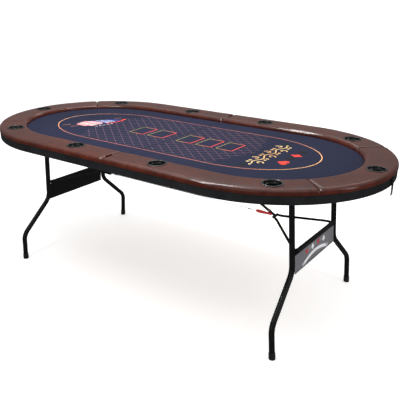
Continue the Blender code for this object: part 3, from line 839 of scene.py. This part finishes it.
def spade(bm, cx, cy, s, turn, mat):
    flat_shape(bm, heart(cx, cy, s, turn + pi), mat)
    stem(bm, cx, cy, s, turn, mat, ((0.1, 0.1), (0.12, -0.55), (0.34, -0.95)), PRINT_Z + 0.00003)


def printed_layout(label, side):
    bm = bmesh.new()
    flat_line(bm, oval_half(side), 0.0044, OVAL)
    r = 0.006
    for i, (x0, x1) in enumerate(BOXES):
        if (x0 > 0) == (side > 0):
            flat_line(bm, round_corners(x0 + r, x1 - r, BOX_Y0 + r, BOX_Y1 - r, r), 0.005,
                      FIRST_BOX + i, closed=True, z=PRINT_Z + 0.00006)
    lattice(bm, side)
    if side > 0:
        suit_row(bm)
        vine(bm)
    else:
        end_motif(bm)
    obj = finish_mesh("print_" + label, bm, PRINT_INKS, label + "_half", smooth=False)


def lattice(bm, side):
    """Two sets of thin slanting lines inside the oval, kept clear of boxes and fold."""
    for lean in (1, -1):
        for k in range(-24, 25):
            run = []
            for i in range(142):
                y = -0.262 + 0.524 * i / 140
                x = k * 0.047 * 1.25 + lean * y * 1.15
                fits = (i < 141 and inside_oval(x, y, 0.012) and x > -0.53
                        and -0.56 + 0.55 * abs(y) < x < 0.46 - 0.35 * abs(y)
                        and (x > 0.004) == (side > 0) and abs(x) > 0.004
                        and not (BOX_Y0 - 0.008 < y < BOX_Y1 + 0.008 and
                                 any(x0 - 0.008 < x < x1 + 0.008 for x0, x1 in BOXES)))
                if fits:
                    run.append((x, y))
                    continue
                if len(run) > 2:
                    flat_line(bm, [run[0], run[-1]], 0.0022 if lean > 0 else 0.0017, LATTICE,
                              z=PRINT_Z - 0.00004 + 0.00002 * (lean > 0))
                run = []


def suit_row(bm):
    turn = -pi / 2
    flat_shape(bm, heart(0.628, -0.08, 0.03, turn), RED_SUIT)
    spade(bm, 0.628, -0.012, 0.026, turn, BLACK)
    flat_shape(bm, diamond(0.628, 0.046, 0.03, turn), RED_SUIT)
    club(bm, 0.628, 0.108, 0.027, turn, BLACK)
    club(bm, 0.505, -0.205, 0.022, turn, BLACK)
    spade(bm, 0.505, 0.19, 0.022, turn, BLACK)


def spiral(cx, cy, r0, r1, a0, a1, count=26):
    out = []
    for i in range(count + 1):
        r, a = r0 + (r1 - r0) * i / count, a0 + (a1 - a0) * i / count
        out.append((cx + r * cos(a), cy + r * sin(a)))
    return out


def vine(bm):
    """Plain gold vine along the end of the field: a waving stem with curls and leaves."""
    x, width, pitch = 0.52, 0.006, 0.054
    ys = [-0.165 + 0.32 * i / 60 for i in range(61)]
    flat_line(bm, [(x + 0.01 * sin(pi * y / pitch), y) for y in ys], width, GOLD)
    for k in range(6):
        y = -0.138 + pitch * k
        flip = 1 if k % 2 == 0 else -1
        start = pi * (flip < 0)
        flat_line(bm, spiral(x + 0.024 * flip, y, 0.019, 0.004, start, start + 5.2 * flip), width,
                  GOLD, z=PRINT_Z + 0.00002)
        for lean in (-0.01, 0.012):
            flat_shape(bm, diamond(x - 0.027 * flip, y + lean, 0.0105, pi / 2 + 0.6 * flip), GOLD,
                       PRINT_Z + 0.00004)
    for y in (-0.178, 0.168):
        flat_shape(bm, diamond(x, y, 0.01), GOLD)


def end_motif(bm):
    """Fan of plain cards on bands, in the motif's place at the far end."""
    def lay(points):
        return [(-0.558 + x * 0.9 + 0.32 * y, -0.012 + 0.84 * y) for x, y in points]

    # ink, start and width across the fan, and its two ends, in millimetres
    strips = ((PINK, -112, 20, -20, 50), (PINK, -90, 20, -46, 66), (PALE, -66, 10, -58, 70),
              (PINK, -54, 20, -66, 62), (PINK, -30, 16, -68, 52), (PALE, -12, 8, -64, 56),
              (PINK, -2, 18, -60, 44), (BLUE, 20, 14, -56, 48), (PALE, 36, 7, -50, 52),
              (BLUE, 45, 14, -48, 46), (PALE, 61, 7, -44, 50), (BLUE, 70, 14, -40, 44),
              (PALE, 86, 7, -36, 46), (BLUE, 95, 14, -32, 40), (BLUE, 113, 12, -22, 34),
              (BLUE, 130, 10, -12, 26))
    for k, (ink, *sizes) in enumerate(strips):
        y0, wide, x0, x1 = mm(sizes)
        wave = 0.006 * sin(k * 1.9)
        flat_shape(bm, lay([(x0 - wave, y0), (x1 + wave, y0 + 0.006),
                            (x1 + wave - 0.004, y0 + wide + 0.006), (x0 - wave + 0.006,
                                                                     y0 + wide)]),
                   ink, PRINT_Z + 0.00001 * k)
    bow = [(0.06 + 0.026 * sin(pi * t) - 0.05 * t, 0.02 + 0.17 * t)
           for t in [i / 12 for i in range(13)]]
    flat_line(bm, lay(bow), 0.0085, RED_SUIT, z=PRINT_Z + 0.0002)
    for k in range(5):
        flat_shape(bm, lay(diamond(0.096 - 0.002 * k, -0.07 + 0.026 * k, 0.0085)), PALE,
                   PRINT_Z + 0.0002)
    for x, y0, y1 in mm(((-50, -175, -130), (12, -170, -125), (-40, 155, 200), (20, 150, 190))):
        flat_line(bm, lay([(x, y0), (x + 0.004, y1)]), 0.0038, OVAL, z=PRINT_Z + 0.00002)


# ---------------------------------------------------------------- legs
LEAN = atan2(FOOT_X - PIVOT_X, PIVOT_Z)
DOWN = (sin(LEAN), -cos(LEAN))
OUT = (cos(LEAN), sin(LEAN))


def on_leg(down, out, y, side):
    return Vector((side * (PIVOT_X + down * DOWN[0] + out * OUT[0]), y,
                   PIVOT_Z + down * DOWN[1] + out * OUT[1]))


def down_to(z):
    return (PIVOT_Z - z) / cos(LEAN)


def leg_frame(label, side):
    body = label + "_legs"
    for place, ys in ENDS:
        bm = bmesh.new()
        heights = ((-0.0085, LEG_Y), (down_to(BEND_HIGH), LEG_Y), (down_to(BEND_LOW), FOOT_Y),
                   (down_to(0.006), FOOT_Y))
        path = bend([on_leg(down, 0, ys * y, side) for down, y in heights], 0.075, 12)
        pipe(bm, split_long(path, 0.05), LEG_R, 32, round_ends=0.002)
        # weld bead where the cross tube meets the leg
        p = on_leg(CROSS_DOWN, CROSS_OFFSET, ys * (LEG_Y - LEG_R + 0.001), side)
        bead = [p + Vector((0.0082 * cos(a), -ys * (0.0004 + 0.001 * sin(a) ** 2),
                            0.0082 * sin(a))) for a in [2 * pi * i / 28 for i in range(28)]]
        pipe(bm, bead, lambda i: 0.0016 + 0.0003 * (i % 2), 8, closed=True)
        stand_in("tube", f"leg_{label}_{place}", bm, TUBE, body, sharp=50)
        foot(label, place, side, ys * FOOT_Y)
    bm = bmesh.new()
    y = LEG_Y - LEG_R - 0.0004
    pipe(bm, [on_leg(CROSS_DOWN, CROSS_OFFSET, -y + 2 * y * i / 8, side) for i in range(9)],
         CROSS_R, 28)
    stand_in("rod", "cross_tube_" + label, bm, TUBE, body, sharp=50)
    leg_panel(label, side)


def foot(label, place, side, y):
    """Rubber cap: ribbed cup on the tube, flat on the floor."""
    profile = mm(((0, 0), (11.8, 0), (13.6, 0.4), (14.4, 1.6), (14.5, 4), (14, 4.8), (14, 5.6),
                  (14.5, 6.4),
                  (14.5, 8.8), (14, 9.6), (14, 10.4), (14.5, 11.2), (14.4, 28), (14, 30.5),
                  (13.2, 31.8), (12.7, 31.8), (12.7, 4), (0, 4)))
    bm = bmesh.new()
    lathe(bm, profile, (0, 0, 0), (0, 0, 1), 40)
    lean = (FOOT_X - PIVOT_X) / PIVOT_Z
    for v in bm.verts:
        v.co.x += side * (FOOT_X - lean * v.co.z)
        v.co.y += y
    stand_in("cap", f"foot_{label}_{place}", bm, RUBBER, label + "_legs", sharp=50)


def leg_panel(label, side):
    """Folded sheet between the tubes with a rolled top and bottom edge,
    print on its outer face."""
    top, low = CROSS_DOWN + CROSS_R + 0.0036, down_to(0.3005)
    half = LEG_Y - LEG_R - 0.0007
    section = ((top, -0.0012), (top + 0.0012, -0.0015), (low - 0.0012, -0.0015), (low, -0.0012),
               (low, 0.0012), (low - 0.0015, 0.0015), (low - 0.006, 0.0015),
               (low - 0.0066, 0.0009), (top + 0.0066, 0.0009), (top + 0.006, 0.0015),
               (top + 0.0015, 0.0015), (top, 0.0012))
    bm = bmesh.new()
    inner = half - 0.001
    ys = [-half] + [-inner + 2 * inner * i / 24 for i in range(25)] + [half]
    rings = []
    for y in ys:
        grow = 0.68 if abs(y) > half - 0.0005 else 1.0
        rings.append([on_leg(d, CROSS_OFFSET + o * grow, y, side) for d, o in section])
    skin(bm, rings)
    out_dir = Vector((side * OUT[0], 0, OUT[1]))
    bmesh.ops.recalc_face_normals(bm, faces=bm.faces)
    for f in bm.faces:
        down = (f.calc_center_median().z - PIVOT_Z) / DOWN[1]
        f.material_index = int(f.normal.dot(out_dir) > 0.9 and top + 0.006 < down < low)
    roll = [on_leg(CROSS_DOWN, CROSS_OFFSET, -0.1778 + 0.3556 * i / 12, side) for i in range(13)]
    pipe(bm, roll, 0.0083, 32, round_ends=0.0006)
    skin(bm, [[on_leg(d, CROSS_OFFSET + o, y, side) for d, o in
               ((CROSS_DOWN + 0.006, -0.0026), (top + 0.0008, -0.0011),
                (top + 0.0008, 0.0011), (CROSS_DOWN + 0.006, 0.0026))] for y in (-0.1776, 0.1776)])
    stand_in("sheet", "leg_panel_" + label, bm, [DARK, GREY], label + "_legs", sharp=25)
    panel_print(label, side, (top + low) / 2)


def panel_print(label, side, mid):
    """Plain curved ribbon and four suit shapes in place of the printed words."""
    bm = bmesh.new()

    def put(points, ink, lift=0.0002):
        """Points are (along the panel, up); along runs with +Y seen from outside."""
        sheets = [[bm.verts.new(on_leg(mid - v, CROSS_OFFSET + 0.0009 + lift - sink, side * u,
                                       side))
                   for u, v in points] for sink in (0.0, INK_THICK)]
        close_plate(bm, *sheets, ink)

    def put_stem(cx, cy, high, low, wide, lift):
        put([(cx - 0.002, cy + high), (cx + 0.002, cy + high), (cx + wide, cy + low),
             (cx - wide, cy + low)], WHITE_PANEL, lift)

    upper = [(-0.112 + 0.224 * i / 20, -0.001 - 0.02 * (2 * i / 20 - 1) ** 2) for i in range(21)]
    put(upper + [(u, v - 0.015) for u, v in reversed(upper)], WHITE_PANEL)
    for s in (-1, 1):
        put([(s * u, v) for u, v in mm(((110, -19), (140, -25), (130, -33), (136, -42),
                                        (104, -35)))], PALE_PANEL, 0.00015)
    put(heart(-0.087, 0.016, 0.014), RED_PANEL)
    put(diamond(0.029, 0.021, 0.017), RED_PANEL)
    put(heart(-0.029, 0.021, 0.014, pi), WHITE_PANEL)
    put_stem(-0.029, 0.021, -0.004, -0.016, 0.005, 0.0003)
    for dx, dy, lift in ((0, 0.0068, 0.0002), (-0.0068, -0.0022, 0.00024),
                         (0.0068, -0.0022, 0.00028)):
        put(disc(0.087 + dx, 0.016 + dy, 0.0062), WHITE_PANEL, lift)
    put_stem(0.087, 0.016, 0.002, -0.014, 0.0045, 0.00034)
    for u, v in ((-0.058, 0.02), (0.0, 0.023), (0.058, 0.02)):
        put(disc(u, v, 0.0042), PALE_PANEL)
    obj = finish_mesh("print_leg_panel_" + label, bm, PANEL_INKS, label + "_legs", smooth=False)


# ---------------------------------------------------------------- brace
def brace(label, side):
    eye = on_leg(CROSS_DOWN, CROSS_OFFSET, 0, 1)
    kx, kz = KNEE
    away = Vector((kx - eye.x, 0, kz - eye.z)).normalized()
    for place, ys in ENDS:
        bm = bmesh.new()
        eye_y, tip_y = ys * 0.185, ys * 0.0178
        start = Vector((eye.x, eye_y, eye.z)) + away * 0.0085
        knee = Vector((kx, tip_y, kz))
        pts = [start, start + Vector((away.x * 0.02, -ys * 0.012, away.z * 0.02)),
               knee - away * 0.024 + Vector((0, ys * 0.012, 0)), knee - away * 0.004]
        pipe(bm, [Vector((side * p.x, p.y, p.z)) for p in split_long(bend(pts, 0.022, 6), 0.03)],
             0.0058)
        bush(bm, [(CROSS_R + 0.0003, 0.006), (0.0094, 0.006), (0.0098, 0.0055)],
             (side * eye.x, eye_y, eye.z), 36)
        lathe(bm, facing(mm(((0, -4.2), (5.2, -4.2), (6, -3.4), (6, 3.4), (5.2, 4.2), (3.4, 4.2),
                             (3, 3.6), (0, 3.6))), ys), (side * kx, tip_y, kz))
        stand_in("rod", f"strut_{label}_{place}", bm, TUBE, label + "_struts", sharp=45)
    link(label, side)


def link(label, side):
    ux, uz = LINK_PIVOT
    kx, kz = KNEE
    along = Vector((kx - ux, 0, kz - uz))
    length = along.length
    along.normalize()
    up = Vector((-along.z, 0, along.x))

    def at(d, u, y):
        p = Vector((ux, 0, uz)) + along * d + up * u
        return Vector((side * p.x, y, p.z))

    # pressed channel, open below, with rolled edges
    section = mm(((-4, -5.5), (2.6, -5.5), (3.7, -4.9), (4, -3.8), (4, 3.8), (3.7, 4.9), (2.6,
                                                                                          5.5),
                                                                                          (-4,
                                                                                           5.5),
                  (-4, 4.1), (2, 4.1), (2.6, 3.4), (2.6, -3.4), (2, -4.1), (-4, -4.1)))
    bm = bmesh.new()
    skin(bm, [[at(0.0045 + (length - 0.01) * i / 28, u, y) for u, y in section]
              for i in range(29)])
    bush(bm, mm(((2.8, 5.6), (4.5, 5.6), (4.9, 5.2))), (side * ux, 0, uz))
    lathe(bm, spool(mm(((0, 7.4), (5.8, 7.4), (6.4, 6.8)))), (side * kx, 0, kz), sides=36)
    lathe(bm, mm(((0, -10.6), (1.9, -10.6), (1.9, -5), (0, -5))), (side * HOOK[0], 0, HOOK[1]),
          sides=20)
    stand_in("channel", "link_" + label, bm, TUBE, label + "_link", sharp=35)
    # lock ring: square collar with rolled lips, outside and then bore
    bm = bmesh.new()
    rings = []
    for before, u, y, r in mm(((41.8, 4.2, 5.6, 1.4), (41.2, 4.2, 5.6, 1.9), (39.6, 4.2, 5.6, 1.7),
                               (32.4, 4.2, 5.6, 1.7), (30.8, 4.2, 5.6, 1.9), (30.2, 4.2, 5.6, 1.4),
                               (30.2, 4, 5.5, 0.3), (41.8, 4, 5.5, 0.3))):
        rings.append([at(length - before, *p) for p in round_corners(-u, u, -y, y, r)])
    skin(bm, rings, loop=True)
    stand_in("collar", "lock_ring_" + label, bm, STEEL, label + "_lock_ring", sharp=40)
    tie(label, side)
    link_bracket(label, side)


def tie(label, side):
    """Wire rope of three strands, its ferrule, and the snap hook at its end."""
    hz = HOOK[1]
    x0, x1, count = 0.0016, 0.4641, 230
    bm = bmesh.new()
    for strand in range(3):
        path = []
        for i in range(count + 1):
            x = x0 + (x1 - x0) * i / count
            t = 2 * pi * (x / 0.016 + strand / 3)
            path.append((side * x, HOOK_Y + 0.0006 * cos(t), hz + 0.0008 + 0.0006 * sin(t)))
        pipe(bm, path, 0.00062, 6)
    stand_in("rope", "tie_cable_" + label, bm, WIRE, label + "_tie")
    bm = bmesh.new()
    lathe(bm, mm(((1, -11), (1.9, -10.8), (2.2, -9.8), (2.1, -4), (1.7, -3), (2.1, -2), (2.1, 4),
                  (1.7, 5),
                  (2.2, 6), (2.2, 9.8), (1.9, 10.8), (1, 11))),
          (side * 0.4315, HOOK_Y, hz), (1, 0, 0), 28)
    obj = finish_mesh("ferrule_" + label, bm, DARK, label + "_tie", sharp=40)
    # flat lever with a waist: place along x and half its height there
    lever = mm(((464.5, 2.2), (466.5, 4.6), (471.5, 7), (479.5, 8), (493.5, 7.9), (507.5, 7),
                (519.5, 5.8),
                (531.5, 5.4), (539.5, 5.6), (546, 5), (548.5, 3)))
    outline = lever + [(x, -h) for x, h in reversed(lever)]
    bm = bmesh.new()
    skin(bm, [[(side * x, HOOK_Y + y, hz + h + (grow if h > 0 else -grow)) for x, h in outline]
              for y, grow in mm(((-1.6, -0.6), (-1.1, 0), (1.1, 0), (1.6, -0.6)))])
    stand_in("lever", "cable_hook_" + label, bm, RED if side > 0 else DARK, label + "_tie",
             sharp=35)


def link_bracket(label, side):
    """Plate with two ears and a pin."""
    x, z = side * LINK_PIVOT[0], LINK_PIVOT[1]
    bm = bmesh.new()
    rounded_box(bm, (x - 0.009, -0.018, UNDERSIDE - 0.001), (x + 0.009, 0.018, UNDERSIDE), 0.0003)
    for ys in (-1, 1):
        lo, hi = sorted((ys * 0.0062, ys * 0.0092))
        rounded_box(bm, (x - 0.006, lo, z - 0.006), (x + 0.006, hi, UNDERSIDE - 0.0004), 0.0006)
        lathe(bm, facing(mm(((0, 0), (3.4, 0), (3, 1.2), (0, 1.8))), ys), (x, ys * 0.0092, z),
              sides=20, mat=1)
    lathe(bm, spool(mm(((0, 8.5), (2.5, 8.5)))), (x, 0, z), sides=20, mat=1)
    stand_in("clevis", "link_bracket_" + label, bm, [DARK, ZINC], label + "_half", sharp=30)


def leg_brackets(label, side):
    """Angle plate with two screws and the bolt that the leg turns on."""
    x = side * PIVOT_X
    inner = LEG_Y + LEG_R + 0.001
    outer = inner + 0.004
    screw = mm(((0, -2.2), (2.2, -2), (3.6, -1), (3.8, 0), (0, 0)))
    for place, ys in ENDS:
        bm = bmesh.new()
        lo, hi = sorted((ys * inner, ys * outer))
        rounded_box(bm, (x - 0.014, lo, PIVOT_Z - 0.01), (x + 0.014, hi, UNDERSIDE), 0.0012)
        lo, hi = sorted((ys * (outer - 0.002), ys * (outer + 0.022)))
        rounded_box(bm, (x - 0.02, lo, UNDERSIDE - 0.0032), (x + 0.02, hi, UNDERSIDE), 0.0009)
        for dx in (-0.011, 0.011):
            lathe(bm, screw, (x + dx, ys * (outer + 0.011), UNDERSIDE - 0.0032), (0, 0, 1), 24, 1)
        reach = (outer - (LEG_Y - 0.011)) / 2
        lathe(bm, spool([(0, reach), (0.0046, reach), (0.005, reach - 0.0004)]),
              (x, ys * (outer - 0.001 - reach), PIVOT_Z), sides=28, mat=1)
        stand_in("mount", f"leg_bracket_{label}_{place}", bm, [DARK, ZINC], label + "_half",
                 sharp=30)


# ---------------------------------------------------------------- assemble
for label, side in SIDES:
    for part in ("front", "end", "rear"):
        rail_pad(label, side, part)
    for place, _, _ in CUPS:
        cup_holder(label, place)
    felt_piece(label, side)
    board_piece(label, side)
    edge_band_piece(label, side)
    printed_layout(label, side)
    leg_frame(label, side)
    brace(label, side)
    leg_brackets(label, side)

for name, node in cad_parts.items():
    if name.startswith(("hinge", "latch")):
        for holder in node.material_slots:
            holder.material = BRONZE if name.startswith("hinge") else DARK
        rounding = node.modifiers.new("rounding", "BEVEL")
        rounding.width, rounding.segments, rounding.limit_method = 0.00025, 2, "ANGLE"


# ---------------------------------------------------------------- floor, light and camera
def stage_piece(name, bm, glow, **looks):
    m = Mat("pale_" + name)
    m.shader.inputs["Emission Color"].default_value = (1, 1, 1, 1)
    m.shader.inputs["Emission Strength"].default_value = glow
    obj = new_mesh_object(name, bm, [m.set(spec=0.0, **looks)])
    obj.visible_glossy = False
    return obj


bm = bmesh.new()
bmesh.ops.create_grid(bm, x_segments=2, y_segments=2, size=200)
stage_piece("floor", bm, 0.52, colour=(0.9, 0.9, 0.9, 1.0), rough=0.95)

# pale wall far behind everything: only the camera sees it, so it lights nothing
bm = bmesh.new()
skin(bm, [[(x, y, z) for x, y in disc(0, 0, 80, 64)] for z in (-0.5, 60.0)], caps=False)
wall = stage_piece("backdrop", bm, 1.0, colour=(0.0, 0.0, 0.0, 1.0), rough=1.0)
wall.visible_diffuse = wall.visible_shadow = False
wall.visible_transmission = wall.visible_volume_scatter = False

# studio: dark below, brighter towards the top
world = bpy.data.worlds.new("studio")
bpy.context.scene.world = world
sky = Mat(world, "Background")
up = sky.node("SeparateXYZ", {0: sky.tree.nodes.new("ShaderNodeTexCoord").outputs["Generated"]})
glow = sky.node("ValToRGB", {"Fac": sky.grey(up.outputs["Z"], 0.0, 1.0, -1.0, 1.0)})
levels = glow.color_ramp.elements
for _ in range(3):
    levels.new(0.5)
for stop, (spot, level) in zip(levels, ((0.49, 0.08), (0.52, 0.28), (0.7, 0.26), (0.78, 0.52),
                                        (0.9, 0.95))):
    stop.position, stop.color = spot, (level, level, level, 1.0)
sky.put(sky.shader.inputs["Color"], (1, 1, 1, 1))
sky.put(sky.shader.inputs["Strength"], glow.outputs["Color"])

for name, place, aim, size, power in (
        ("overhead", (0.1, -0.35, 2.7), (0.1, -0.1, 0.7), (2.6, 0.9), 10),
        ("strip", (-0.35, -0.4, 2.3), (0.1, -0.45, 0.7), (2.4, 0.09), 40),
        ("back", (-1.2, 2.6, 2.6), (0, 0, 0.72), (3.4, 0.5), 9),
        ("side", (3.4, 0.2, 1.6), (0.6, 0, 0.6), (0.5, 2.0), 12),
        ("front", (0.4, -3.6, 1.3), (0, 0, 0.5), (2.6, 0.6), 9)):
    lamp = bpy.data.lights.new(name, "AREA")
    lamp.shape = "RECTANGLE"
    lamp.size, lamp.size_y = size
    lamp.energy = power
    obj = new_object(name, lamp)
    obj.location = place
    obj.rotation_euler = (Vector(aim) - Vector(place)).to_track_quat("-Z", "Y").to_euler()

AZIMUTH, ELEVATION = radians(35.58), radians(20.99)
FOCAL_PIXELS, IMAGE_PIXELS, SENSOR_MM = 559.2, 400, 36
camera = bpy.data.cameras.new("camera")
camera.sensor_width = SENSOR_MM
camera.lens = SENSOR_MM * FOCAL_PIXELS / IMAGE_PIXELS
cam = new_object("camera", camera)
cam.location = (1.6632, -2.1349, 1.4393)
cam.rotation_euler = (pi / 2 - ELEVATION, 0, AZIMUTH)
bpy.context.scene.camera = cam
bpy.context.scene.view_settings.view_transform = "Standard"
